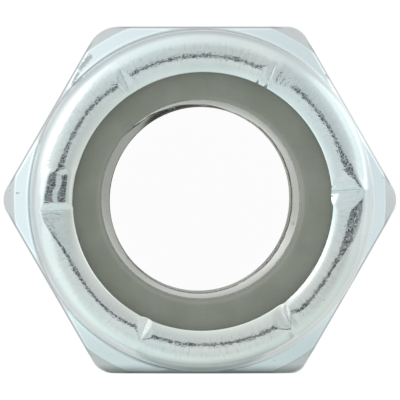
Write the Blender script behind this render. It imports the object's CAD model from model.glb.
"""Nylon insert lock nut: zinc plated hexagon body with a rolled collar, and the nylon ring that it holds."""

import logging
import math
from dataclasses import dataclass
from enum import Enum
from functools import cache
from typing import Sequence, TypeAlias

import bmesh
import bpy
import numpy as np
from mathutils import Matrix, Vector


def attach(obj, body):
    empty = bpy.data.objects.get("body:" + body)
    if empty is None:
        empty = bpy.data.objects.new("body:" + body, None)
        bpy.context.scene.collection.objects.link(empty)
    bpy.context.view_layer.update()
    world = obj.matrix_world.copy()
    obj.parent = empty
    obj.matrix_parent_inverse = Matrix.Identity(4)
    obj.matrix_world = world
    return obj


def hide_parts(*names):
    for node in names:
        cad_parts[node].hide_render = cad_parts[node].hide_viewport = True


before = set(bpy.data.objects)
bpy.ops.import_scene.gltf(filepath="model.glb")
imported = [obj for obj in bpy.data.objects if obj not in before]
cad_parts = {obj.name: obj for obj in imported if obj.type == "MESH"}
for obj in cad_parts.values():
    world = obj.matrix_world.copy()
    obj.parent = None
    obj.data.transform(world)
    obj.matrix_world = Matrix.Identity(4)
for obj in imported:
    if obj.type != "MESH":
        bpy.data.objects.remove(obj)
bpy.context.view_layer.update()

MM = 0.001
TURN = 2.0 * math.pi
SIXTH = TURN / 6
Reals = np.ndarray | float
Value: TypeAlias = "Wire | float"
Colour = tuple[float, float, float]
Table = tuple[tuple[float, ...], ...]
log = logging.getLogger("lock_nut")


class Slot(Enum):
    """Finishes that the part's record lists."""

    ZINC = "zinc_plate"
    NYLON = "nylon"


class Node(Enum):
    """Solids that the dressed pieces stand for."""

    BODY = "nut_body"
    INSERT = "nylon_insert"


class Kind(Enum):
    """What a node group works on."""

    SHADER = "ShaderNodeTree"
    GEOMETRY = "GeometryNodeTree"


class Move(Enum):
    """Ways in which a blade worked the metal beside its nick."""

    OUT = "crest moved outwards"
    FLAT = "lip flattened inside the crest"
    DOWN = "crest moved down"
    TERRACE = "lip shaped as a terrace"
    CURL = "lip's edge curled down"


# ---------------------------------------------------------------- node trees


class Wire:
    """A node's socket that can be reckoned with like a number."""

    def __init__(self, tree: "Tree", socket: bpy.types.NodeSocket) -> None:
        """Keeps the tree and the socket."""
        self.tree = tree
        self.socket = socket

    def math(self, operation: str, *others: Value) -> "Wire":
        """Returns this wire after one Math node."""
        return self.tree.math(operation, self, *others)

    def __add__(self, other: Value) -> "Wire":
        """Returns the sum."""
        return self.math("ADD", other)

    def __sub__(self, other: Value) -> "Wire":
        """Returns the difference."""
        return self.math("SUBTRACT", other)

    def __mul__(self, other: Value) -> "Wire":
        """Returns the product."""
        return self.math("MULTIPLY", other)

    def __truediv__(self, other: Value) -> "Wire":
        """Returns the quotient."""
        return self.math("DIVIDE", other)

    def __neg__(self) -> "Wire":
        """Returns the wire with its sign turned."""
        return self.math("MULTIPLY", -1.0)

    def __abs__(self) -> "Wire":
        """Returns the wire without its sign."""
        return self.math("ABSOLUTE")

    def at_least(self, other: Value) -> "Wire":
        """Returns the larger of two values."""
        return self.math("MAXIMUM", other)

    def at_most(self, other: Value) -> "Wire":
        """Returns the smaller of two values."""
        return self.math("MINIMUM", other)

    def step(self, low: Value, high: Value, start: Value = 0.0, end: Value = 1.0) -> "Wire":
        """Makes a smooth rise between two values.

        Args:
            low: value at which the rise starts.
            high: value at which it ends.
            start: result at and below low.
            end: result at and above high.

        Returns:
            The risen value.
        """
        return self.tree.wire("ShaderNodeMapRange", (self, low, high, start, end),
                              interpolation_type="SMOOTHSTEP")

    def fade(self, low: Value, high: Value) -> "Wire":
        """Returns a smooth fall from 1 at the low value to 0 at the high one."""
        return self.step(low, high, 1.0, 0.0)


class Tree:
    """A node tree that is filled node by node."""

    def __init__(self, nodes: bpy.types.NodeTree) -> None:
        """Keeps the tree and empties it."""
        self.nodes = nodes
        nodes.nodes.clear()

    def add(self, kind: str, inputs: "Sequence | dict" = (), **settings: object) -> bpy.types.Node:
        """Adds one node.

        Args:
            kind: the node's type.
            inputs: values or wires, in the order of its sockets or by their names.
            settings: the node's own properties.

        Returns:
            The new node.
        """
        node = self.nodes.nodes.new(kind)
        for name, value in settings.items():
            setattr(node, name, value)
        pairs = inputs.items() if isinstance(inputs, dict) else enumerate(inputs)
        for key, value in pairs:
            self.feed(node.inputs[key], value)
        return node

    def feed(self, socket: bpy.types.NodeSocket, value: object) -> None:
        """Links a wire to a socket, or sets the socket's own value.

        Args:
            socket: the input that is fed.
            value: a wire, a number, or a colour as red, green and blue.
        """
        if isinstance(value, Wire):
            self.nodes.links.new(value.socket, socket)
        else:
            socket.default_value = (*value, 1.0) if socket.type == "RGBA" else value

    def wire(self, kind: str, inputs: "Sequence | dict" = (), output: "str | int" = 0,
             **settings: object) -> Wire:
        """Returns one output of a new node."""
        return Wire(self, self.add(kind, inputs, **settings).outputs[output])

    def math(self, operation: str, *values: Value) -> Wire:
        """Returns the result of one Math node."""
        return self.wire("ShaderNodeMath", values, operation=operation)

    def vector(self, x: Value, y: Value, z: Value) -> Wire:
        """Returns three values as one vector."""
        return self.wire("ShaderNodeCombineXYZ", (x, y, z))

    def parts(self, vector: Wire) -> tuple[Wire, ...]:
        """Returns a vector's three parts."""
        return tuple(Wire(self, part) for part in self.add("ShaderNodeSeparateXYZ", (vector,)).outputs)

    def position(self) -> tuple[Wire, ...]:
        """Returns the three parts of each vertex's position."""
        return self.parts(self.wire("GeometryNodeInputPosition"))

    def reach(self, x: Wire, y: Wire) -> Wire:
        """Returns the distance from the axis."""
        return self.math("SQRT", x * x + y * y)

    def noise(self, vector: Wire, scale: Value, detail: Value = 2.0, rough: float = 0.5) -> Wire:
        """Returns noise from 0 to 1 over a vector."""
        return self.wire("ShaderNodeTexNoise",
                         {"Vector": vector, "Scale": scale, "Detail": detail, "Roughness": rough})

    def blend(self, share: Value, low: "Wire | Colour", high: "Wire | Colour") -> Wire:
        """Returns a colour between two colours."""
        return self.wire("ShaderNodeMix", {0: share, 6: low, 7: high}, 2, data_type="RGBA")


class Group:
    """A node group with named inputs and one output."""

    TYPES = {"Object": "NodeSocketVector", "Geometry": "NodeSocketGeometry",
             "Material": "NodeSocketMaterial"}

    def __init__(self, name: str, kind: Kind, inputs: Sequence[str], output: str) -> None:
        """Makes the group's sockets.

        Args:
            name: the group's name.
            kind: what it works on.
            inputs: names of its inputs, which take numbers unless TYPES has them.
            output: name of its output.
        """
        self.group = bpy.data.node_groups.new(name, kind.value)
        for label, way in [*((label, "INPUT") for label in inputs), (output, "OUTPUT")]:
            self.group.interface.new_socket(name=label, in_out=way,
                                            socket_type=self.TYPES.get(label, "NodeSocketFloat"))
        self.tree = Tree(self.group)
        self.entry = self.tree.add("NodeGroupInput")
        self.exit = self.tree.add("NodeGroupOutput")

    def get(self, name: str) -> Wire:
        """Returns one input as a wire."""
        return Wire(self.tree, self.entry.outputs[name])

    def give(self, value: Wire) -> None:
        """Joins a wire to the output."""
        self.tree.feed(self.exit.inputs[0], value)

    def move(self, values: "dict[str, Wire]", geometry: "Wire | None" = None) -> Wire:
        """Returns the given geometry, or the group's own, with its vertices moved."""
        source = geometry or self.get("Geometry")
        return self.tree.wire("GeometryNodeSetPosition", {"Geometry": source, **values})

    def close(self, geometry: Wire) -> None:
        """Ends a geometry group with its instances made real and its material set.

        Args:
            geometry: what the group has made.
        """
        whole = self.tree.wire("GeometryNodeRealizeInstances", {"Geometry": geometry})
        self.give(self.tree.wire("GeometryNodeSetMaterial",
                                 {"Geometry": whole, "Material": self.get("Material")}))

    def place(self, tree: Tree, values: dict[str, object]) -> Wire:
        """Adds this group to another tree.

        Args:
            tree: the tree it goes into.
            values: its inputs by name.

        Returns:
            The group's output there.
        """
        kind = "ShaderNodeGroup" if self.group.bl_idname == Kind.SHADER.value else "GeometryNodeGroup"
        node = tree.add(kind, node_tree=self.group)
        for name, value in values.items():
            tree.feed(node.inputs[name], value)
        return Wire(tree, node.outputs[0])

    def shape(self, piece: bpy.types.Object, values: dict[str, object]) -> None:
        """Runs a geometry group on a piece and keeps the result as its plain mesh.

        Args:
            piece: the object whose mesh is shaped.
            values: the group's inputs by name.
        """
        modifier = piece.modifiers.new(self.group.name, "NODES")
        modifier.node_group = self.group
        for item in self.group.interface.items_tree:
            if item.in_out == "INPUT" and item.name in values:
                modifier[item.identifier] = values[item.name]
        graph = bpy.context.evaluated_depsgraph_get()
        shaped = bpy.data.meshes.new_from_object(piece.evaluated_get(graph))
        piece.modifiers.clear()
        plain = piece.data
        piece.data = shaped
        bpy.data.meshes.remove(plain)
        shaped.name = piece.name


# ---------------------------------------------------------------- shared tools


def stand(name: str, data: bpy.types.ID) -> bpy.types.Object:
    """Makes an object in the scene.

    Args:
        name: the object's name.
        data: its mesh, camera or lamp.

    Returns:
        The new object.
    """
    thing = bpy.data.objects.new(name, data)
    bpy.context.collection.objects.link(thing)
    return thing


def aim(azimuth: float, elevation: float) -> Vector:
    """Returns the direction of an azimuth, anticlockwise from X, and an elevation, both in degrees."""
    a, e = math.radians(azimuth), math.radians(elevation)
    return Vector((math.cos(a) * math.cos(e), math.sin(a) * math.cos(e), math.sin(e)))


def shares(count: int) -> list[float]:
    """Returns equal shares from 0 up to but not including 1."""
    return np.linspace(0.0, 1.0, count, endpoint=False).tolist()


def waves(spots: Table, angles: Reals) -> Reals:
    """Adds up waves round the axis.

    Args:
        spots: each wave's count, its depth and the degrees towards which it is deepest.
        angles: angles at which they are wanted.

    Returns:
        Their sum at each angle.
    """
    return sum(depth * np.cos(count * (angles - math.radians(towards)))
               for count, depth, towards in spots)


class Shell:
    """A closed mesh of rings round the axis, each joined to the next."""

    def __init__(self) -> None:
        """Starts with no vertices and no faces."""
        self.points: list[np.ndarray] = []
        self.faces: list[tuple[int, ...]] = []
        self.count = 0

    def ring(self, radius: Reals, height: Reals,
             angles: np.ndarray) -> np.ndarray:
        """Adds one ring of vertices.

        Args:
            radius: distance from the axis, in millimetres.
            height: height of each vertex.
            angles: angle of each vertex.

        Returns:
            The vertices' numbers.
        """
        radius = np.broadcast_to(radius, angles.shape)
        height = np.broadcast_to(height, angles.shape)
        self.points.append(np.stack([radius * np.cos(angles), radius * np.sin(angles), height], 1) * MM)
        first = self.count
        self.count += len(angles)
        return np.arange(first, self.count)

    def face(self, *corners: int) -> None:
        """Adds one face, without the corners that fall together.

        Args:
            corners: numbers of its vertices.
        """
        kept = list(dict.fromkeys(corners))
        if len(kept) > 2:
            self.faces.append(tuple(int(c) for c in kept))

    def join(self, *rings: np.ndarray) -> None:
        """Joins rings of equal counts with four-sided faces, each to the next.

        Args:
            rings: the rings in their order.
        """
        for low, high in zip(rings, rings[1:]):
            corners = (low, np.roll(low, -1), np.roll(high, -1), high)
            self.faces += list(zip(*(corner.tolist() for corner in corners)))

    def thin(self, fine: np.ndarray, coarse: np.ndarray) -> None:
        """Joins a ring to one of half its count.

        Args:
            fine: the fuller ring.
            coarse: the ring of half its count.
        """
        for i, p in enumerate(coarse):
            q = coarse[(i + 1) % len(coarse)]
            a, b, c = fine[2 * i], fine[2 * i + 1], fine[(2 * i + 2) % len(fine)]
            for corners in ((a, b, p), (b, q, p), (b, c, q)):
                self.face(*corners)

    def piece(self, name: str) -> bpy.types.Object:
        """Makes the object, smooth and with its faces outwards.

        Args:
            name: the piece's name.

        Returns:
            The new object.
        """
        mesh = bpy.data.meshes.new(name)
        mesh.from_pydata(np.concatenate(self.points).tolist(), [], self.faces)
        work = bmesh.new()
        work.from_mesh(mesh)
        bmesh.ops.recalc_face_normals(work, faces=work.faces)
        for face in work.faces:
            face.smooth = True
        work.to_mesh(mesh)
        work.free()
        return stand(name, mesh)


class Path:
    """A line in the half plane through the axis, one for every angle, with softened corners."""

    END_FACE = 0.04
    MOST_SOFT = 0.44

    def __init__(self, angles: np.ndarray) -> None:
        """Starts an empty line over the given angles."""
        self.angles = angles
        self.rows: list[np.ndarray] = []

    def spot(self, radius: Reals, height: Reals) -> np.ndarray:
        """Returns one point for every angle, as radius and height."""
        shape = self.angles.shape
        return np.stack([np.broadcast_to(radius, shape), np.broadcast_to(height, shape)], 1).astype(float)

    def bend(self, start: np.ndarray, corner: np.ndarray, end: np.ndarray, faces: int) -> None:
        """Adds a curve that leaves one point and reaches another along the sides of a corner.

        Args:
            start: first point of the curve, which is added.
            corner: where its two sides would meet.
            end: last point, which isn't added.
            faces: number of faces along the curve.
        """
        for share in shares(faces):
            self.rows.append((1 - share) ** 2 * start + 2 * share * (1 - share) * corner + share ** 2 * end)

    def corners(self, spots: "Sequence[tuple[np.ndarray, float, int]]", between: int = 1) -> None:
        """Adds a line through softened corners.

        Args:
            spots: each corner's point, how far it is softened, and the faces of its curve.
            between: faces on each straight stretch.
        """
        places = [spot[0] for spot in spots]
        ends: list[tuple[np.ndarray, np.ndarray]] = []
        for i, (place, soft, _) in enumerate(spots):
            if soft == 0.0 or i in (0, len(spots) - 1):
                ends.append((place, place))
                continue
            sides = []
            for other in (places[i - 1], places[i + 1]):
                way = other - place
                length = np.linalg.norm(way, axis=1, keepdims=True)
                sides.append(place + way / length * np.minimum(soft, self.MOST_SOFT * length))
            ends.append((sides[0], sides[1]))
        for i, (place, soft, faces) in enumerate(spots):
            start, end = ends[i]
            if soft and 0 < i < len(spots) - 1:
                self.bend(start, place, end, faces)
            if i < len(spots) - 1:
                self.stretch(end, ends[i + 1][0], between)

    def stretch(self, start: np.ndarray, end: np.ndarray, between: int) -> None:
        """Adds a straight stretch with a narrow face at each end, which keeps its shading flat.

        Args:
            start: its first point, which is added.
            end: its last point, which isn't added.
            between: faces between the narrow ones.
        """
        middle = np.linspace(0.0, 1.0, between + 1)[1:-1]
        for share in (0.0, self.END_FACE, *middle, 1.0 - self.END_FACE):
            self.rows.append(start + (end - start) * share)


# ---------------------------------------------------------------- body


@dataclass(frozen=True)
class HexOutline:
    """The hexagon seen along its axis, with a rounding of its own at each corner."""

    apothem: float = 6.5
    roundings: tuple[float, ...] = (0.9, 0.85, 1.25, 0.92, 0.85, 0.5)

    def radius(self, angles: np.ndarray) -> np.ndarray:
        """Measures the outline.

        Args:
            angles: directions in which it is measured.

        Returns:
            Its distance from the axis in each direction.
        """
        half = SIXTH / 2
        corner = np.round(angles / SIXTH).astype(int) % len(self.roundings)
        off = np.abs((angles + half) % SIXTH - half)
        soft = np.array(self.roundings)[corner]
        centre = (self.apothem - soft) / math.cos(half)
        touch = np.arctan2(soft * math.sin(half), centre + soft * math.cos(half))
        flat = self.apothem / np.cos(half - off)
        inside = np.maximum(soft ** 2 - (centre * np.sin(off)) ** 2, 0.0)
        return np.where(off < touch, centre * np.cos(off) + np.sqrt(inside), flat)


@dataclass(frozen=True)
class Side:
    """One side of a nick: the slope that the blade cut up to its rise, and the metal drawn down beyond."""

    cut: float
    rise: float = 9.0
    flank: float = 0.0


@dataclass(frozen=True)
class Nick:
    """One mark that the crimping blades press across the rolled collar.

    Tip is the radius at which it runs out, fall is its slope towards the bore, and slant its lean off
    the radius. Left is clockwise and right is anticlockwise, seen from above. Soft rounds the mark's
    rims and worn its bottom. The tables say how the blade worked the metal beside it, by the degrees
    from the nick. Ridge holds the millimetres that the roll's crest went outwards and, where there are
    any, the millimetres of the lip that are flattened inside it. Sunk holds the millimetres that the
    crest went down. Terrace is how far the lip drops to a low step instead of a plain slope, and curl
    how far its edge is curled down, both from 0 to 1.
    """

    angle: float
    tip: float
    fall: float
    slant: float
    left: Side
    right: Side
    ridge: Table = ()
    sunk: Table = ()
    terrace: Table = ()
    curl: Table = ()
    soft: float = 0.03
    worn: float = 0.04

    def off(self, angles: Reals) -> Reals:
        """Returns the angles from this nick in degrees, between -180 and 180."""
        return (np.degrees(angles) - self.angle + 180.0) % 360.0 - 180.0

    def worked(self, angles: Reals, move: Move) -> Reals:
        """Reads one of the tables.

        Args:
            angles: the angles at which it is read.
            move: what the blade did.

        Returns:
            How much of it there is at each angle.
        """
        tables = {Move.OUT: [spot[:2] for spot in self.ridge],
                  Move.FLAT: [(spot[0], sum(spot[2:])) for spot in self.ridge],
                  Move.DOWN: self.sunk, Move.TERRACE: self.terrace, Move.CURL: self.curl}
        degrees, amounts = np.transpose(tables[move] or [(0.0, 0.0)])
        return np.interp(self.off(angles), degrees, amounts)


NICKS = (
    Nick(3.8, 6.13, 0.16, 0.00, Side(0.19), Side(1.50, 0.06, 0.21),
         ridge=((-54, 0.0), (-33, 0.0, 0.05), (-28, 0.05, 0.1), (-25, 0.13, 0.17), (-21.8, 0.22, 0.26),
                (-18.8, 0.32, 0.36), (-15.8, 0.39, 0.42), (-11.8, 0.45, 0.48), (-6.8, 0.49, 0.42),
                (-2.8, 0.51, 0.1), (0.2, 0.52, 0.05), (4.2, 0.36, 0.14), (6.2, 0.31, 0.3),
                (9.2, 0.26, 0.42), (12.2, 0.14, 0.3), (16.2, 0.06, 0.2), (21.2, 0.0, 0.06),
                (30, -0.035), (44, -0.04), (50, 0.0)),
         curl=((-58, 0.0), (-54, 1.0), (-6.8, 1.0), (-2.8, 0.0)), worn=0.01),
    Nick(60.9, 5.80, 0.04, 0.13, Side(0.55), Side(0.31),
         ridge=((-14, 0.0), (-9, -0.02), (-2, -0.12), (1.1, 0.20, 0.04), (2.6, 0.20, 0.04), (5.1, 0.0),
                (9.1, -0.06), (20, -0.02), (50, -0.02), (56, 0.0)),
         sunk=((-14, 0.0), (-9, 0.02), (-2, 0.09), (1.1, 0.0))),
    Nick(122.2, 5.76, 0.02, -0.12, Side(0.28), Side(0.26),
         ridge=((-4, 0.0), (-1.9, -0.06), (-0.4, 0.17), (1.3, 0.06), (2.6, -0.12), (4.3, -0.12),
                (8.8, -0.055), (17.8, 0.03), (26, 0.0)),
         sunk=((2.6, 0.0), (4.3, 0.02), (8.8, 0.01), (17.8, 0.0)), worn=0.06),
    Nick(183.9, 6.02, 0.03, 0.00, Side(0.55), Side(2.00, 0.06, 0.10),
         ridge=((-49, 0.0), (-34, 0.035, 0.16), (-24, 0.09, 0.25), (-18, 0.14, 0.33),
                (-16.6, 0.17, 0.34), (-16.1, 0.18, 0.1), (-15.2, 0.23, 0.13), (-14.2, 0.40, 0.28),
                (-12, 0.45, 0.34), (-9, 0.47, 0.34), (-6, 0.52, 0.28), (-2.9, 0.55, 0.4),
                (-0.1, 0.55, 0.1), (3.6, 0.53, 0.08), (6.1, 0.44, 0.12), (10.1, 0.34, 0.1),
                (15.1, 0.16, 0.1), (19.1, 0.09, 0.1), (26, 0.03), (31, 0.0)),
         terrace=((-18, 0.0), (-16.6, 0.13), (-16.1, 0.4), (-15.2, 0.45), (-14.2, 0.5), (-12, 0.5),
                  (-9, 0.55), (-6, 0.6), (-2.9, 0.7), (-0.1, 0.0)), worn=0.01),
    Nick(246.0, 5.70, 0.29, 0.06, Side(0.65), Side(0.55),
         ridge=((-14, 0.0), (-6, -0.08), (-4, -0.16), (-1.7, -0.09), (0.0, 0.27, 0.03), (3.0, 0.075),
                (4.5, -0.03), (20, -0.05), (40, -0.04), (46, 0.0))),
    Nick(306.9, 5.62, 0.14, -0.42, Side(0.50), Side(0.60),
         ridge=((-13, 0.0), (-7.9, -0.018), (-5.9, 0.09), (-3.4, 0.31, 0.03), (-2.1, 0.344, 0.03),
                (-0.6, -0.05), (1.1, -0.257), (4.1, -0.04), (6.1, 0.03), (12, 0.0)), worn=0.06),
)

# Small notches in the lip: angle, tip, fall, slopes to the left and the right, and wear.
NOTCHES = tuple(
    Nick(angle, tip, fall, 0.0, Side(left), Side(right), soft=0.01, worn=worn)
    for angle, tip, fall, left, right, worn in (
        (125.2, 5.47, 0.10, 1.00, 0.60, 0.02), (242.6, 5.25, 0.35, 1.50, 0.45, 0.02),
        (307.2, 5.22, 0.35, 1.00, 0.80, 0.02), (2.9, 5.34, 0.55, 0.35, 2.50, 0.01),
        (2.0, 5.16, 1.00, 3.00, 3.00, 0.01), (5.9, 5.08, 1.00, 3.00, 3.00, 0.01),
        (60.2, 5.06, 1.00, 2.50, 2.50, 0.01), (64.3, 5.06, 1.00, 2.50, 2.50, 0.01)))


@dataclass
class NutBody:
    """The zinc plated steel body: hexagon, shoulder, rolled collar and threaded bore.

    Corner_columns are the degrees over which columns are closer together at a corner, the degrees over
    which that fades and how much closer they are, and nick_columns the first and the last. Push_decay
    is how the crest's move outwards fades down the roll: its share of the roll's width, its least and
    its greatest power. Drift_rise is the height at which the collar's offset starts and the height
    over which it grows. Waves hold a count, a depth and the degrees towards which they are deepest.
    """

    outline: HexOutline = HexOutline()
    columns: int = 544
    corner_columns: tuple[float, float, float] = (8.0, 1.2, 2.0)
    nick_columns: tuple[float, float] = (0.7, 2.5)
    nick_turn: float = 3.0
    bearing_radius: float = 6.1
    bearing_start: float = 4.6
    bearing_soft: float = 0.1
    bearing_slope: float = math.tan(math.radians(25.0))
    countersink_radius: float = 4.25
    bore_radius: float = 3.44
    bore_waves: Table = ((1, -0.025, 20.0), (2, -0.043, 76.0))
    root_radius: float = 4.0
    root_soft: float = 0.004
    pitch: float = 1.25
    thread_start: float = 0.731
    thread_rows: tuple[float, ...] = (-0.5, -0.36, -0.344, -0.334, -0.32, -0.2, -0.085, -0.067, -0.058,
                                        -0.04, 0.04, 0.058, 0.067, 0.085, 0.2, 0.32, 0.334, 0.344, 0.36)
    extra_rows: int = 40
    extra_height: float = 5.1
    mouth_width: float = 0.08
    mouth_break: float = 0.01
    mouth_depth: float = 0.008
    wall_start: float = 0.04
    wall_clear: float = 0.02
    runout_radius: float = 3.75
    runout_slope: float = math.tan(math.radians(30.0))
    seat_height: float = 5.5
    seat_radius: float = 4.2
    shoulder_height: float = 5.8
    shoulder_slope: float = math.tan(math.radians(22.0))
    rim_radius: float = 6.97
    corner_slope: float = math.tan(math.radians(50.0))
    edge_break: float = 0.09
    edge_soft: float = 0.14
    rim_soft: float = 0.06
    rim_reach: float = 0.132
    foot_radius: float = 0.2
    foot_wall: float = 6.40
    wall_radius: float = 6.35
    roll_rise: float = 0.75
    roll_rows: int = 26
    crest_radius: float = 5.42
    crest_drift: float = 0.06
    crest_height: float = 8.0
    push_decay: tuple[float, float, float] = (0.8, 1.0, 3.0)
    sink_fade: float = 0.1
    lip_radius: float = 4.785
    lip_waves: Table = ((1, 0.022, 95.0), (2, 0.024, 125.0))
    lip_fall: float = 0.17
    lip_rows: int = 19
    facet_slope: float = 0.12
    facet_soft: float = 0.03
    facet_push: float = 0.12
    facet_drop: float = 0.05
    terrace_slope: float = 0.3
    terrace_depth: float = 0.042
    terrace_onset: float = 8.0
    terrace_reach: float = 0.20
    curl_reach: float = 0.32
    lip_soft: float = 0.08
    lip_under: float = 7.4
    pocket_radius: float = 5.6
    pocket_chamfer: float = 0.3
    pocket_soft: float = 0.05
    uneven: float = 0.015
    uneven_scale: float = 900.0
    uneven_seed: float = 0.013
    uneven_low: float = 6.2
    drift_rise: tuple[float, float] = (6.0, 1.2)
    collar_drift: tuple[float, float] = (0.065, -0.012)
    nicks: tuple[Nick, ...] = NICKS + NOTCHES

    def angles(self) -> np.ndarray:
        """Places the columns, closer together at the corners and the nicks.

        Returns:
            Their angles.
        """
        fine = np.linspace(0.0, TURN, 20000)
        off = np.degrees((fine - math.radians(self.nick_turn) + SIXTH / 2) % SIXTH - SIXTH / 2)
        wide, fade, gain = self.corner_columns
        density = 1.0 + gain / (1.0 + np.exp((np.abs(off) - wide) / fade))
        wide, gain = self.nick_columns
        for nick in self.nicks:
            density = density + gain * np.exp(-np.square(nick.off(fine) / wide))
        total = np.concatenate([[0.0], np.cumsum((density[1:] + density[:-1]) / 2)])
        return np.interp(np.arange(self.columns) / self.columns, total / total[-1], fine)

    def turned_curve(self) -> tuple[np.ndarray, np.ndarray, np.ndarray]:
        """Traces the shoulder, the collar's foot and its wall, from the rim up to the roll.

        Returns:
            Length along the curve, radius and height of its points.
        """
        slope = math.atan(self.shoulder_slope)
        centre_r = self.foot_wall + self.foot_radius
        level = self.shoulder_height - self.shoulder_slope * self.foot_radius
        centre_z = level + self.foot_radius / math.cos(slope)
        bend = np.linspace(math.pi / 2 - slope, 0.0, 14)
        foot_r = centre_r - self.foot_radius * np.cos(bend)
        foot_z = centre_z - self.foot_radius * np.sin(bend)
        rim_z = self.shoulder_height - self.shoulder_slope * (self.rim_radius - self.foot_wall)
        radius = np.concatenate([[self.rim_radius], foot_r, [self.wall_radius]])
        height = np.concatenate([[rim_z], foot_z, [self.roll_base()]])
        length = np.concatenate([[0.0], np.cumsum(np.hypot(np.diff(radius), np.diff(height)))])
        return length, radius, height

    def upper_rows(self, path: Path, reach: np.ndarray) -> None:
        """Adds the hexagon's side, its upper edge, the shoulder and the collar's wall.

        Args:
            path: the line that is added to.
            reach: the hexagon's radius at each angle.
        """
        length, radius, height = self.turned_curve()

        def on_curve(at: np.ndarray) -> np.ndarray:
            """Returns the curve's points at the given lengths along it."""
            return path.spot(np.interp(at, length, radius), np.interp(at, length, height))

        rim = np.minimum(self.rim_radius, reach - self.edge_break)
        rim_at = np.interp(-rim, -radius[:8], length[:8])
        rim_z = np.interp(rim_at, length, height)
        low = path.spot(self.bearing_radius, 0.0)
        chamfer = path.spot(reach, (reach - self.bearing_radius) * self.bearing_slope)
        edge = path.spot(reach, rim_z - (reach - rim) * self.corner_slope)
        corner = path.spot(rim, rim_z)
        after_at = rim_at + self.rim_reach
        path.corners([(path.spot(self.bearing_start, 0.0), 0.0, 0), (low, self.bearing_soft, 4),
                      (chamfer, self.bearing_soft, 4), (edge, self.edge_soft, 6),
                      (corner, self.rim_soft, 4), (on_curve(after_at), 0.0, 0)], 2)
        knots = [after_at, np.maximum(length[1], after_at + 0.01),
                 np.maximum(length[14], after_at + 0.05), np.full_like(rim, length[-1])]
        for start, end, count in zip(knots, knots[1:], (6, 8, 7)):
            path.rows += [on_curve(start + (end - start) * share) for share in shares(count)]

    def roll_base(self) -> float:
        """Returns the height at which the collar's wall turns into the roll."""
        return self.crest_height - self.roll_rise

    def plain_crest(self, angles: Reals) -> Reals:
        """Returns the radius of the roll's highest line before the blades moved it."""
        return self.crest_radius + self.crest_drift * np.cos(angles)

    def lip_edge(self, angles: Reals) -> Reals:
        """Returns the radius of the lip's edge, a little uneven round the bore."""
        return self.lip_radius - waves(self.lip_waves, angles)

    def worked(self, angles: Reals, move: Move) -> Reals:
        """Returns how much all the blades together worked the metal in one way."""
        return sum(nick.worked(angles, move) for nick in self.nicks)

    def row(self, radius: Reals, drop: Reals, angles: Reals) -> np.ndarray:
        """Makes a row of the roll or the lip, sunk where the blades moved the crest down.

        Args:
            radius: distance of each point from the axis.
            drop: how far it would lie below the crest's plain height.
            angles: angle of each point.

        Returns:
            The points as radius and height.
        """
        sunk = self.worked(angles, Move.DOWN) * np.exp(-drop / self.sink_fade)
        return np.stack(np.broadcast_arrays(radius, self.crest_height - drop - sunk), -1)

    def roll(self, out: Reals, angles: np.ndarray) -> np.ndarray:
        """Works out a row of the roll's outer side.

        Args:
            out: 1 at the collar's wall and 0 at the crest.
            angles: angle of each point.

        Returns:
            The points as radius and height.
        """
        plain, push = self.plain_crest(angles), self.worked(angles, Move.OUT)
        width = self.wall_radius - plain
        spread, least, most = self.push_decay
        decay = np.clip(spread * width / np.maximum(push, 0.001), least, most)
        drop = self.roll_rise * (1.0 - np.sqrt(1.0 - np.square(out)))
        return self.row(plain + width * out + push * (1.0 - out) ** decay, drop, angles)

    def lip(self, inside: Reals, angles: np.ndarray) -> np.ndarray:
        """Works out a row of the lip.

        Where the crest was pushed outwards, the lip is flat inside it and then slopes gently, or drops
        to a terrace, until it meets the unworked lip.

        Args:
            inside: distance inside the crest.
            angles: angle of each point.

        Returns:
            The points as radius and height.
        """
        plain, push = self.plain_crest(angles), self.worked(angles, Move.OUT)
        edge = self.lip_edge(angles)
        width = plain + push - edge
        radius = plain + push - inside
        level = self.worked(angles, Move.TERRACE)
        onset = self.terrace_onset * level
        start = plain - self.terrace_reach * np.minimum(onset, 1.0)
        unworked = self.lip_fall * (np.maximum(start - radius, 0.0) / (start - edge)) ** 2
        beyond = np.maximum(inside - self.worked(angles, Move.FLAT), 0.0)
        share = np.clip(push / self.facet_push, 0.0, 1.0)
        step = np.minimum(beyond * self.terrace_slope, self.terrace_depth)
        facet = (beyond * self.facet_slope * np.maximum(1.0 - onset, 0.0) + step * level) * share
        soft = self.facet_soft * share * np.clip((unworked + facet) / self.facet_drop, 0.0, 1.0) + 1e-6
        meet = np.maximum(soft - np.abs(unworked - facet), 0.0) / soft
        pushed_out = np.maximum(unworked, facet) + meet ** 2 * soft / 4.0
        drop = np.where(push > 0.0, pushed_out, self.lip_fall * (inside / width) ** 2)
        curl = np.maximum(edge + self.curl_reach - radius, 0.0) ** 2
        return self.row(radius, drop + curl * self.worked(angles, Move.CURL), angles)

    def tip_height(self, radius: float, angle: float) -> float:
        """Finds the height of the roll or the lip before any nick is cut.

        Args:
            radius: distance from the collar's own axis.
            angle: direction from it.

        Returns:
            The height in millimetres.
        """
        angles = np.full(64, angle)
        crest = float(self.plain_crest(angle) + self.worked(angle, Move.OUT))
        if radius < crest:
            return float(self.lip(crest - radius, angles)[0, 1])
        row = self.roll(np.linspace(0.0, 0.95, 64), angles)
        return float(np.interp(radius, row[:, 0], row[:, 1]))

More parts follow.
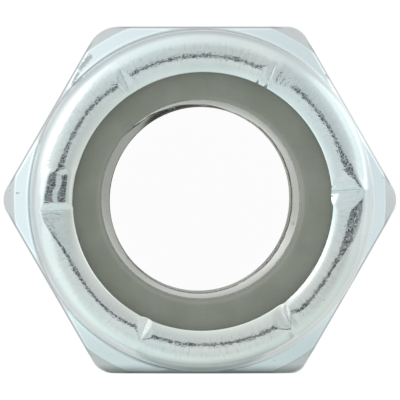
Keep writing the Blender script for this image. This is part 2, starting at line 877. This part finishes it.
    def collar_rows(self, path: Path) -> None:
        """Adds the roll, the lip, its edge and the pocket behind the ring.

        Args:
            path: the line that is added to.
        """
        angles = path.angles
        for turn in np.linspace(0.0, math.pi / 2, self.roll_rows, endpoint=False):
            path.rows.append(self.roll(math.cos(turn), angles))
        lip_edge = self.lip_edge(angles)
        width = self.plain_crest(angles) + self.worked(angles, Move.OUT) - lip_edge
        stop = width - self.lip_soft
        path.rows += [self.lip(stop * share, angles) for share in shares(self.lip_rows)]
        brow, edge = self.lip(stop, angles), self.lip(width, angles)
        cheek = path.spot(lip_edge, edge[:, 1] - self.lip_soft)
        path.bend(brow, edge, cheek, 6)
        cut, under, soft = self.pocket_chamfer, self.lip_under, self.pocket_soft
        seat = path.spot(self.pocket_radius, self.seat_height)
        path.corners([(cheek, 0.0, 0), (path.spot(lip_edge, under), soft, 2),
                      (path.spot(self.pocket_radius - cut, under), soft, 2),
                      (path.spot(self.pocket_radius, under - cut), soft, 2), (seat, 0.0, 0)])
        path.rows.append(seat)

    def drift(self, row: np.ndarray) -> float:
        """Finds how far a row of the collar stands off the hexagon's axis.

        Args:
            row: the row's points as radius and height.

        Returns:
            The share of the collar's whole offset, from 0 to 1.
        """
        low, rise = self.drift_rise
        rise = float(np.clip((row[:, 1].mean() - low) / rise, 0.0, 1.0))
        return rise * rise * (3.0 - 2.0 * rise)

    def bore(self, shell: Shell, angles: np.ndarray) -> tuple[np.ndarray, np.ndarray]:
        """Adds the bore's wall, in rows that climb with the thread.

        Args:
            shell: the mesh that is added to.
            angles: the wall's columns.

        Returns:
            Its lowest and its highest ring.
        """
        low, high, clear = self.wall_start, self.seat_height, self.wall_clear
        extra = np.arange(self.extra_rows) / self.extra_rows - 0.5
        phases = sorted([(row, 0.0) for row in self.thread_rows]
                        + [(row, self.extra_height) for row in extra if row not in self.thread_rows])
        turns = range(-2, int(high / self.pitch) + 2)
        starts = [(self.pitch * (turn + 0.5 - self.thread_start + row), above) for turn in turns
                  for row, above in phases]
        bottom = shell.ring(self.countersink_radius - low, low, angles)
        top = shell.ring(self.runout_radius, high, angles)
        rows = len(starts)
        numbers = np.zeros((rows, len(angles)), int)
        crest = self.bore_radius - waves(self.bore_waves, angles)
        for i, (start, above) in enumerate(starts):
            height = start + self.pitch * angles / TURN
            cone = self.countersink_radius - height
            runout = self.runout_radius - (high - height) / self.runout_slope
            radius = np.maximum(np.maximum(crest, cone), runout)
            inside = (height > low + clear) & (height < high - clear)
            own = inside & (height > above)
            numbers[i] = np.where(height <= low + clear, bottom, top)
            numbers[i, inside & ~own] = numbers[i - 1, inside & ~own]
            numbers[i, own] = shell.ring(radius[own], height[own], angles[own])
        last = len(angles) - 1
        for j in range(len(angles)):
            lift = len(phases) if j == last else 0
            k = (j + 1) % len(angles)
            for i in range(rows - 1):
                a, b = min(i + lift, rows - 1), min(i + 1 + lift, rows - 1)
                shell.face(numbers[i, j], numbers[a, k], numbers[b, k], numbers[i + 1, j])
        return bottom, top

    def mesh(self) -> bpy.types.Object:
        """Builds the plain body, before its thread and nicks.

        Returns:
            The body's object.
        """
        angles = self.angles()
        path = Path(angles)
        self.upper_rows(path, self.outline.radius(angles))
        self.collar_rows(path)
        shell = Shell()
        rings = []
        for row in path.rows:
            rings.append(shell.ring(row[:, 0], row[:, 1], angles))
            shift = self.drift(row)
            shell.points[-1][:, 0] += shift * self.collar_drift[0] * MM
            shell.points[-1][:, 1] += shift * self.collar_drift[1] * MM
        shell.join(*rings)
        half = angles[::2]
        seat = shell.ring(self.seat_radius, self.seat_height, half)
        shell.thin(rings[-1], seat)
        bottom, top = self.bore(shell, half)
        shell.join(seat, top)
        mouth = shell.ring(self.countersink_radius + self.mouth_width, 0.0, half)
        brow = shell.ring(self.countersink_radius + self.mouth_break, self.mouth_depth, half)
        shell.join(bottom, brow, mouth)
        shell.thin(rings[0], mouth)
        return shell.piece("nut_body_dressed")

    def thread_group(self) -> Group:
        """Builds the group that cuts a right-hand thread into the bore.

        Returns:
            The geometry group.
        """
        group = Group("cut_thread", Kind.GEOMETRY,
                      ["Geometry", "Pitch", "Root Radius", "Root Flat", "Flank Slope", "Softness",
                       "Start", "Reach", "Material"], "Geometry")
        tree, get = group.tree, group.get
        x, y, z = tree.position()
        radius = tree.reach(x, y)
        turns = tree.math("ARCTAN2", y, x) / TURN
        phase = tree.math("FRACT", z / get("Pitch") - turns + get("Start"))
        off = abs(phase - 0.5) * get("Pitch")
        flank = (off - get("Root Flat")).at_least(0.0) * get("Flank Slope")
        cut = tree.math("SMOOTH_MAX", radius, get("Root Radius") - flank, get("Softness"))
        share = cut.at_least(radius) / radius
        group.close(group.move({"Selection": radius.math("LESS_THAN", get("Reach")),
                                "Position": tree.vector(x * share, y * share, z)}))
        return group

    def nick_group(self) -> Group:
        """Builds the group that presses one nick.

        Returns:
            The geometry group, whose lengths are in metres.
        """
        sides = [f"{side} {what}" for side in ("Left", "Right") for what in ("Cut", "Rise", "Flank")]
        group = Group("press_nick", Kind.GEOMETRY,
                      ["Geometry", "Angle", "Slant", "Tip Radius", "Tip Height", "Fall", "Softness",
                       "Wear", *sides, "Crest Radius", "Lip Under"], "Geometry")
        tree, get = group.tree, group.get
        x, y, z = tree.position()
        cos, sin = tree.math("COSINE", get("Angle")), tree.math("SINE", get("Angle"))
        radius = x * cos + y * sin
        along = y * cos - x * sin - (radius - get("Crest Radius")) * get("Slant")

        def profile(name: str, off: Wire) -> Wire:
            """Returns the height of one side of the mark above its bottom."""
            gap = tree.math("SMOOTH_MAX", off, 0.0, get("Wear"))
            return (gap * get(f"{name} Cut")).at_most(gap * get(f"{name} Flank") + get(f"{name} Rise"))

        rise = profile("Left", -along) + profile("Right", along)
        blade = get("Tip Height") + (radius - get("Tip Radius")) * get("Fall") + rise
        pressed = tree.math("SMOOTH_MIN", z, blade, get("Softness"))
        near = radius.math("GREATER_THAN", get("Crest Radius") * 0.75)
        high = z.math("GREATER_THAN", get("Lip Under") + 0.001 * MM)
        group.give(group.move({"Selection": near * high, "Position": tree.vector(x, y, pressed)}))
        return group

    def collar_group(self) -> Group:
        """Builds the group that works the collar: its nicks one after another, then its unevenness.

        Returns:
            The geometry group.
        """
        group = Group("crimp_collar", Kind.GEOMETRY,
                      ["Geometry", "Lip Under", "Unevenness", "Seed", "Material"], "Geometry")
        tree, get = group.tree, group.get
        nick_group = self.nick_group()
        geometry = get("Geometry")
        for nick in self.nicks:
            turn = math.radians(nick.angle)
            shift = self.collar_drift[0] * math.cos(turn) + self.collar_drift[1] * math.sin(turn)
            values = {"Geometry": geometry, "Angle": turn, "Softness": nick.soft * MM, "Wear": nick.worn * MM,
                      "Crest Radius": self.crest_radius * MM, "Slant": nick.slant,
                      "Tip Radius": nick.tip * MM, "Fall": nick.fall, "Lip Under": get("Lip Under"),
                      "Tip Height": self.tip_height(nick.tip - shift, turn) * MM}
            for label, side in (("Left", nick.left), ("Right", nick.right)):
                values.update({f"{label} Cut": side.cut, f"{label} Rise": side.rise * MM,
                               f"{label} Flank": side.flank})
            geometry = nick_group.place(tree, values)
        x, y, z = tree.position()
        wave = tree.noise(tree.vector(x, y, z + get("Seed")), self.uneven_scale) - 0.5
        lift = wave * z.step(self.uneven_low * MM, self.lip_under * MM) * get("Unevenness")
        group.close(group.move({"Offset": tree.vector(0.0, 0.0, lift)}, geometry))
        return group

    def build(self, finish: "ZincPlate") -> bpy.types.Object:
        """Makes the dressed body and puts it in the frame.

        Args:
            finish: the plating on it.

        Returns:
            The finished piece.
        """
        piece = self.mesh()
        material = finish.material()
        self.thread_group().shape(piece, {
            "Pitch": self.pitch * MM, "Root Radius": self.root_radius * MM,
            "Root Flat": self.pitch / 16 * MM, "Flank Slope": math.sqrt(3.0),
            "Softness": self.root_soft * MM, "Start": self.thread_start,
            "Reach": (self.root_radius + 0.1) * MM, "Material": material})
        self.collar_group().shape(piece, {
            "Lip Under": self.lip_under * MM, "Unevenness": self.uneven * MM, "Seed": self.uneven_seed,
            "Material": material})
        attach(piece, "root")
        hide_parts(Node.BODY.value)
        return piece


@dataclass
class NylonInsert:
    """The nylon locking ring, gripped in the body's pocket under the lip."""

    columns: int = 360
    bore_radius: float = 3.71
    bore_drift: float = 0.035
    outer_radius: float = 5.58
    low: float = 5.5
    high: float = 7.4
    bore_soft: float = 0.35
    outer_chamfer: float = 0.3
    chamfer_soft: float = 0.05
    low_soft: float = 0.08

    def mesh(self) -> bpy.types.Object:
        """Builds the ring.

        Returns:
            The ring's object.
        """
        angles = np.arange(self.columns) / self.columns * TURN
        path = Path(angles)
        cut = self.outer_chamfer
        bore = self.bore_radius + self.bore_drift * np.cos(angles - SIXTH)
        spots = [(path.spot(bore, self.high), self.bore_soft, 12),
                 (path.spot(self.outer_radius - cut, self.high), self.chamfer_soft, 2),
                 (path.spot(self.outer_radius, self.high - cut), self.chamfer_soft, 2),
                 (path.spot(self.outer_radius, self.low), self.low_soft, 3),
                 (path.spot(bore, self.low), self.low_soft, 3)]
        start = path.spot(bore, (self.low + self.high) / 2)
        path.corners([(start, 0.0, 0), *spots, (start, 0.0, 0)], 3)
        shell = Shell()
        rings = [shell.ring(row[:, 0], row[:, 1], angles) for row in path.rows]
        shell.join(*rings, rings[0])
        return shell.piece("nylon_insert_dressed")

    def build(self, finish: "NylonFinish") -> bpy.types.Object:
        """Makes the dressed ring and puts it in the frame.

        Args:
            finish: the nylon it is moulded in.

        Returns:
            The finished piece.
        """
        piece = self.mesh()
        piece.data.materials.append(finish.material())
        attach(piece, "root")
        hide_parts(Node.INSERT.value)
        return piece


# ---------------------------------------------------------------- finishes


class Effects:
    """Surface effects that the finishes share, each a node group that is built once."""

    @staticmethod
    def seeded(group: Group) -> Wire:
        """Returns a group's place in millimetres, moved by its seed."""
        x, y, z = group.tree.parts(group.get("Object"))
        return group.tree.vector(x / MM, y / MM, z / MM + group.get("Seed"))

    @staticmethod
    @cache
    def streaks() -> Group:
        """Builds noise drawn out round the axis or across it, from 0 to 1.

        Returns:
            The shader group.
        """
        group = Group("streaks", Kind.SHADER, ["Object", "Around", "Across", "Detail", "Seed"], "Streak")
        tree, get = group.tree, group.get
        x, y, z = tree.parts(get("Object"))
        radius = tree.reach(x, y)
        across = (radius - z * 0.7) / MM * get("Across")
        spot = tree.vector(x / radius * get("Around"), y / radius * get("Around"), across + get("Seed"))
        group.give(tree.noise(spot, 1.0, get("Detail"), 0.6))
        return group

    @staticmethod
    @cache
    def cloud() -> Group:
        """Builds soft patches of a given size in millimetres, from 0 to 1.

        Returns:
            The shader group.
        """
        group = Group("cloud", Kind.SHADER, ["Object", "Size", "Seed", "Low", "High"], "Patch")
        tree, get = group.tree, group.get
        noise = tree.noise(Effects.seeded(group), tree.math("DIVIDE", 1.0, get("Size")), 3.0, 0.55)
        group.give(noise.step(get("Low"), get("High")))
        return group

    @staticmethod
    @cache
    def specks() -> Group:
        """Builds small separate specks, 1 at each.

        Returns:
            The shader group.
        """
        group = Group("specks", Kind.SHADER, ["Object", "Spacing", "Size", "Share", "Seed"], "Speck")
        tree, get = group.tree, group.get
        cell = tree.add("ShaderNodeTexVoronoi",
                        {"Vector": Effects.seeded(group), "Randomness": 1.0,
                         "Scale": tree.math("DIVIDE", 1.0, get("Spacing"))})
        red, green, _ = tree.parts(Wire(tree, cell.outputs["Color"]))
        size = get("Size") * (green * 0.7 + 0.3)
        near = Wire(tree, cell.outputs["Distance"]).fade(size * 0.5, size)
        group.give(near * red.math("LESS_THAN", get("Share")))
        return group

    @staticmethod
    @cache
    def scratch() -> Group:
        """Builds a ragged scratch seen from above, 1 along its line.

        Returns:
            The shader group.
        """
        group = Group("scratch", Kind.SHADER, ["Object", "X", "Y", "Turn", "Reach", "Width"], "Scratch")
        tree, get = group.tree, group.get
        x, y, z = (part / MM for part in tree.parts(get("Object")))
        wobble = tree.noise(tree.vector(x, y, 3.0), 7.0) - 0.5
        ragged = tree.noise(tree.vector(x, y, 8.0), 16.0)
        cos, sin = tree.math("COSINE", get("Turn")), tree.math("SINE", get("Turn"))
        x, y = x - get("X"), y - get("Y")
        wide = get("Width") * (ragged * 2.4 - 0.5).at_least(0.01)
        line = abs(y * cos - x * sin + wobble * 0.1).fade(wide * 0.4, wide)
        ends = abs(x * cos + y * sin).fade(get("Reach") * 0.7, get("Reach"))
        group.give(line * ends * z.step(4.2, 4.6))
        return group


class Surface:
    """A material in the making, with its place in millimetres."""

    def __init__(self, name: str) -> None:
        """Starts an empty material.

        Args:
            name: the material's name.
        """
        self.material = bpy.data.materials.new(name)
        self.material.use_nodes = True
        self.tree = Tree(self.material.node_tree)
        self.place = self.tree.wire("ShaderNodeTexCoord", output="Object")
        self.x, self.y, self.z = (part / MM for part in self.tree.parts(self.place))
        self.radius = self.tree.reach(self.x, self.y)

    def effect(self, group: Group, **values: float) -> Wire:
        """Places one shared effect.

        Args:
            group: the effect.
            values: its inputs, by their names in lower case.

        Returns:
            Its output.
        """
        inputs = {key.title(): value for key, value in values.items()}
        return group.place(self.tree, {"Object": self.place, **inputs})

    def paint(self, colour: "Wire | Colour", *coats: "tuple[Wire, Wire | Colour]") -> Wire:
        """Lays coats of colour over each other.

        Args:
            colour: what lies below them.
            coats: how thick each is, from 0 to 1, and its colour.

        Returns:
            The colour on top.
        """
        for share, over in coats:
            colour = self.tree.blend(share, colour, over)
        return colour

    def lit(self, low: float, high: float, start: float = 0.0) -> Wire:
        """Returns a smooth rise to 1 towards the upper right, where the bore catches the light."""
        return (self.x * 0.75 + self.y * 0.66).step(low, high, start, 1.0)

    def close(self, lift: Wire, values: "dict[str, object]") -> bpy.types.Material:
        """Ends the material with its relief and its shader.

        Args:
            lift: the relief's height in millimetres.
            values: the shader's inputs by name.

        Returns:
            The material.
        """
        bump = self.tree.wire("ShaderNodeBump", {"Strength": 1.0, "Distance": MM, "Height": lift})
        shader = self.tree.wire("ShaderNodeBsdfPrincipled", {**values, "Normal": bump})
        self.end(shader)
        return self.material

    def end(self, shader: Wire) -> None:
        """Joins a shader to the material's output."""
        self.tree.add("ShaderNodeOutputMaterial", {"Surface": shader})


@dataclass(frozen=True)
class Scratch:
    """One ragged scratch in the top faces, with its middle, its direction and its size in millimetres."""

    x: float
    y: float
    turn: float
    reach: float
    width: float
    depth: float = 0.012


@dataclass(frozen=True)
class ZincPlate:
    """Bright zinc plating with a clear blue passivation."""

    scratches: tuple[Scratch, ...] = (
        Scratch(-4.29, 5.15, 49.0, 0.42, 0.17), Scratch(-4.66, 4.55, 62.0, 0.3, 0.1, 0.006),
        Scratch(-6.82, 0.26, 20.0, 0.07, 0.07), Scratch(-1.00, 3.44, 14.0, 0.25, 0.06, 0.004),
        Scratch(3.50, -0.88, 76.0, 0.09, 0.06, 0.004), Scratch(4.75, 4.62, 130.0, 0.14, 0.05, 0.006))
    cool: Colour = (0.65, 0.735, 0.74)
    pale: Colour = (0.71, 0.775, 0.78)
    dull: Colour = (0.40, 0.44, 0.45)
    warm: Colour = (0.69, 0.722, 0.68)
    turned: Colour = (0.75, 0.84, 0.86)
    drawn: Colour = (0.56, 0.59, 0.595)
    worn: Colour = (0.36, 0.37, 0.38)
    bore: Colour = (0.59, 0.59, 0.56)
    bright_bore: Colour = (0.62, 0.61, 0.58)
    deep: Colour = (0.40, 0.40, 0.37)
    grime: Colour = (0.14, 0.17, 0.165)

    def material(self) -> bpy.types.Material:
        """Builds the plating.

        Returns:
            The material.
        """
        surface = Surface("zinc_plating")
        x, y, z, radius, effect = surface.x, surface.y, surface.z, surface.radius, surface.effect

        # Where each face of the nut lies, by radius and height in millimetres.
        on_crest = radius.step(4.9, 5.3) * radius.fade(5.75, 6.05) * z.step(7.0, 7.5)
        on_lip = radius.fade(4.95, 5.3) * z.step(7.0, 7.5)
        on_collar = radius.step(4.6, 4.8) * z.step(6.2, 6.8)
        on_shoulder = radius.step(6.38, 6.52) * z.step(5.0, 5.1)
        on_side = radius.step(6.94, 6.98).at_least(z.fade(5.40, 5.45) * radius.step(6.4, 6.5))
        in_foot = radius.step(6.10, 6.34) * radius.fade(6.36, 6.52) * z.step(5.5, 5.6)
        in_bore = radius.fade(4.5, 4.7) * z.fade(7.0, 7.2)
        flat = abs(y)
        for side in (0.5, -0.5):
            flat = flat.at_least(abs(x * math.cos(SIXTH / 2) + y * side))
        on_edge = flat.step(6.41, 6.45) * z.step(5.3, 5.42)

        # The marks that forming and plating left.
        radial = effect(Effects.streaks(), around=60.0, across=3.0, detail=3.0, seed=3.0)
        rings = effect(Effects.streaks(), around=2.5, across=22.0, detail=3.0, seed=7.0)
        blotch = effect(Effects.cloud(), size=0.16, seed=31.0, low=0.25, high=0.75)
        grain = effect(Effects.cloud(), size=0.11, seed=5.0, low=0.2, high=0.8)
        patch = effect(Effects.cloud(), size=1.6, seed=11.0, low=0.35, high=0.7)
        tint = effect(Effects.cloud(), size=3.2, seed=23.0, low=0.4, high=0.7)
        speck = effect(Effects.specks(), spacing=0.45, size=0.16, share=0.22, seed=2.0)

        # The sides of the nut that the tent colours, seen from above.
        lower_left = (x * -0.6 - y * 0.8).step(-4.5, 1.5)
        lower_right = (x * 0.5 - y * 0.87).step(2.5, 5.5)
        low = (-y).step(4.0, 5.8) * 0.35
        shaded = (x.step(2.3, 3.7) * 0.85).at_least(radius.step(3.5, 3.72) * x.step(-2.0, 1.0) * 0.8)
        bore = surface.paint(self.bore, (surface.lit(0.5, 3.4) * (patch * 0.5 + 0.6), self.bright_bore),
                             (shaded, self.deep))
        colour = surface.paint(
            self.cool, (patch, self.pale), (tint * 0.4, self.warm),
            (on_lip * lower_left * 0.75, self.warm), (on_collar * lower_right * 0.55, self.warm),
            (on_shoulder, self.turned), (on_side, self.drawn),
            (on_side * z.step(3.6, 5.2, 0.6, 0.0), self.dull), (on_edge * 0.8, self.worn),
            (in_bore, surface.paint(self.deep, (z.step(5.0, 5.3), bore))),
            (in_foot * ((y - x).step(-2.0, 6.0, 0.3, 1.0) + low), self.dull),
            (on_shoulder * low, self.dull), (on_crest * radial.step(0.45, 0.75) * 0.25, self.dull),
            (speck * 0.5, self.dull))
        sunk = speck * 0.003
        for mark in self.scratches:
            line = effect(Effects.scratch(), x=mark.x, y=mark.y, turn=math.radians(mark.turn),
                          reach=mark.reach, width=mark.width)
            colour = surface.paint(colour, (line * 0.75, self.worn))
            sunk = sunk + line * mark.depth
        front = (-y).step(6.1, 6.52) * z.step(5.0, 5.2) * (patch * 0.15 + 0.85)
        colour = surface.paint(colour, (front, self.grime))
        rough = (patch * 0.05 + grain * 0.04 + on_shoulder * 0.08 + on_side * 0.14 + in_bore * 0.08
                 + speck * 0.2 - on_crest * 0.07 + 0.13)
        mottle = y.step(1.0, 4.5, 0.0032, 0.0043)
        lift = (radial * on_crest * 0.006 + blotch * on_crest * mottle + radial * on_collar * 0.0004
                + rings * on_shoulder * 0.0022 + rings * 0.0004
                + grain * on_collar * 0.0008 + grain * 0.0003 - sunk)
        return surface.close(lift, {"Base Color": colour, "Metallic": 1.0, "Roughness": rough})


@dataclass(frozen=True)
class NylonFinish:
    """Matt grey nylon with a slight olive cast."""

    body: Colour = (0.205, 0.215, 0.175)
    pale: Colour = (0.235, 0.25, 0.209)
    speck: Colour = (0.36, 0.37, 0.34)
    rim: Colour = (0.41, 0.41, 0.375)

    def material(self) -> bpy.types.Material:
        """Builds the nylon.

        Returns:
            The material.
        """
        surface = Surface("grey_nylon")
        effect = surface.effect
        patch = effect(Effects.cloud(), size=1.3, seed=4.0, low=0.3, high=0.7)
        grain = effect(Effects.cloud(), size=0.07, seed=9.0, low=0.2, high=0.8)
        speck = effect(Effects.specks(), spacing=0.5, size=0.12, share=0.25, seed=6.0)
        rings = effect(Effects.streaks(), around=1.5, across=9.0, detail=2.0, seed=1.0)
        at_rim = surface.radius.fade(3.72, 3.94) * surface.lit(1.5, 3.4, 0.5)
        colour = surface.paint(self.body, (patch, self.pale), (at_rim, self.rim), (speck * 0.5, self.speck))
        return surface.close(grain * 0.0016 + rings * 0.004,
                             {"Base Color": colour, "Roughness": grain * 0.1 + patch * 0.06 + 0.44,
                              "IOR": 1.53})


# ---------------------------------------------------------------- studio


@dataclass
class Camera:
    """A long lens almost straight above the nut."""

    place: tuple[float, float, float] = (-4.2, 2.9, 355.4)
    target: tuple[float, float, float] = (0.0, 0.0, 5.4)
    view_width: float = 14.987
    sensor: float = 36.0

    def build(self) -> bpy.types.Object:
        """Makes the camera, with the nut's Y axis up.

        Returns:
            The camera.
        """
        data = bpy.data.cameras.new("camera")
        camera = stand("camera", data)
        place, target = Vector(self.place) * MM, Vector(self.target) * MM
        away = (place - target).normalized()
        right = Vector((0.0, 1.0, 0.0)).cross(away).normalized()
        up = away.cross(right)
        turn = Matrix((right, up, away)).transposed()
        camera.matrix_world = Matrix.Translation(place) @ turn.to_4x4()
        data.sensor_width = self.sensor
        data.lens = self.sensor * (place - target).length / (self.view_width * MM)
        data.clip_start, data.clip_end = 0.01, 10.0
        bpy.context.scene.camera = camera
        return camera


@dataclass(frozen=True)
class Glow:
    """A soft patch of the sky: where it is and how wide, in degrees, and how much brighter than the rest."""

    azimuth: float
    elevation: float
    inner: float
    outer: float
    gain: float


@dataclass
class Studio:
    """A white light tent: its floor, its sky and a soft panel."""

    floor_radius: float = 0.7
    floor_colour: Colour = (0.8, 0.81, 0.81)
    white: float = 0.95
    front_colour: Colour = (0.50, 0.55, 0.55)
    glare: float = 0.58
    shade: float = 0.08
    low_glows: tuple[Glow, ...] = (Glow(150.0, 8.0, 6.0, 30.0, 0.35), Glow(28.0, 9.0, 8.0, 28.0, 0.45))
    glows: tuple[Glow, ...] = (
        Glow(268.0, 58.0, 12.0, 36.0, 0.2), Glow(232.0, 32.0, 8.0, 36.0, 0.1),
        Glow(330.0, 22.0, 8.0, 45.0, 0.16), Glow(12.0, 46.0, 5.0, 30.0, 0.14),
        Glow(245.0, 46.0, 5.0, 30.0, -0.12))
    lens: Glow = Glow(145.3, 89.17, 4.27, 7.93, -0.95)
    overhead: float = 0.76
    bright_side: float = 160.0
    side_gain: float = 0.26
    sky_colour: Colour = (0.97, 0.995, 1.0)
    front_sky: Colour = (0.93, 1.0, 0.98)

    def floor(self) -> bpy.types.Object:
        """Makes the floor that the nut stands on.

        Returns:
            The floor.
        """
        work = bmesh.new()
        bmesh.ops.create_circle(work, cap_ends=True, segments=96, radius=self.floor_radius)
        mesh = bpy.data.meshes.new("floor")
        work.to_mesh(mesh)
        work.free()
        floor = stand("floor", mesh)
        floor.location.z = -0.02 * MM
        surface = Surface("white_floor")
        tree, x, y = surface.tree, surface.x, surface.y
        straight, mirrored, passed = self.rays(tree)
        ahead = (-y - abs(x) * 2.3).step(0.0, 7.0) * (-y).step(30.0, 120.0, 1.0, 0.6)
        tone = tree.blend(ahead * mirrored, (self.white,) * 3, self.front_colour)
        beside = (abs(x) - y * 0.9).step(0.0, 8.0) * y.step(1.0, 8.0)
        away = surface.radius.step(60.0, 400.0, self.glare, 0.15)
        strong = beside * away * x.step(-3.0, 6.0, 0.3, 1.0) * mirrored
        plain = tree.wire("ShaderNodeBsdfDiffuse", {"Color": self.floor_colour})
        glow = tree.wire("ShaderNodeEmission", {"Color": tone, "Strength": strong + 1.0})
        share = tree.wire("ShaderNodeBsdfDiffuse", {"Color": (self.shade,) * 3})
        both = tree.wire("ShaderNodeAddShader", (glow, share))
        seen = straight.at_least(mirrored).at_least(passed)
        surface.end(tree.wire("ShaderNodeMixShader", (seen, plain, both)))
        mesh.materials.append(surface.material)
        return floor

    def rays(self, tree: Tree) -> tuple[Wire, ...]:
        """Tells the rays that see a backdrop from those that only light something.

        Args:
            tree: the backdrop's tree.

        Returns:
            1 for the rays that see it straight, in a reflection and through something, in this order.
        """
        path = tree.add("ShaderNodeLightPath")
        kinds = ("Camera", "Glossy", "Transmission")
        return tuple(Wire(tree, path.outputs[f"Is {kind} Ray"]) for kind in kinds)

    def world(self) -> None:
        """Makes the tent's sky: dimmer overhead, with soft patches and the lens's dark spot."""
        world = bpy.data.worlds.new("tent")
        bpy.context.scene.world = world
        world.use_nodes = True
        tree = Tree(world.node_tree)
        x, y, z = tree.parts(tree.wire("ShaderNodeTexCoord", output="Generated"))

        def patch(glow: Glow) -> Wire:
            """Makes one soft patch.

            Args:
                glow: the patch.

            Returns:
                Its gain within its inner angle, and 0 outside its outer one.
            """
            way = aim(glow.azimuth, glow.elevation)
            edges = (math.cos(math.radians(angle)) for angle in (glow.outer, glow.inner))
            return (x * way.x + y * way.y + z * way.z).step(*edges) * glow.gain

        side = aim(self.bright_side, 0.0)
        level = z.step(0.45, 0.93, 1.0, self.overhead) + (x * side.x + y * side.y) * self.side_gain
        for glow in self.low_glows:
            level = level + patch(glow)
        level = level * ((-y).step(0.72, 1.0) * z.step(-0.1, 0.62, -0.42, 0.0) + 1.0)
        for glow in self.glows:
            level = level + patch(glow)
        level = level * (patch(self.lens) + 1.0)
        tone = tree.blend((-y).step(0.1, 0.9), self.sky_colour, self.front_sky)
        sky = tree.wire("ShaderNodeBackground", {"Color": tone, "Strength": level})
        blank = tree.wire("ShaderNodeBackground", {"Color": (1.0, 1.0, 1.0), "Strength": 1.0})
        mixed = tree.wire("ShaderNodeMixShader", (self.rays(tree)[0], sky, blank))
        tree.add("ShaderNodeOutputWorld", {"Surface": mixed})

    def panel(self, name: str, azimuth: float, elevation: float, size: float, glow: float) -> None:
        """Hangs one soft square panel.

        Args:
            name: the panel's name.
            azimuth: its direction, anticlockwise from X, in degrees.
            elevation: its height above the floor, in degrees.
            size: its side in metres.
            glow: its brightness, where 1 is white.
        """
        lamp = bpy.data.lights.new(name, "AREA")
        lamp.shape = "SQUARE"
        lamp.size = size
        lamp.energy = glow * math.pi * size * size
        thing = stand(name, lamp)
        way = aim(azimuth, elevation)
        thing.location = way * 0.3
        thing.rotation_euler = (-way).to_track_quat("-Z", "Y").to_euler()

    def build(self) -> None:
        """Makes the whole tent."""
        self.floor()
        self.world()
        self.panel("key_panel", 150.0, 22.0, 0.12, 0.4)


def report(piece: bpy.types.Object) -> None:
    """Logs one finished piece with its size and its triangles.

    Args:
        piece: the piece.
    """
    size = " x ".join(f"{side / MM:.2f}" for side in piece.dimensions)
    triangles = sum(len(face.vertices) - 2 for face in piece.data.polygons)
    log.info("%s: %s mm, %d triangles", piece.name, size, triangles)


def main() -> None:
    """Builds the nut, the studio and the camera."""
    logging.basicConfig(level=logging.INFO, format="%(name)s: %(message)s")
    Camera().build()
    Studio().build()
    bpy.context.scene.view_settings.view_transform = "Standard"
    for piece in (NutBody().build(ZincPlate()), NylonInsert().build(NylonFinish())):
        report(piece)


if __name__ == "__main__":
    main()
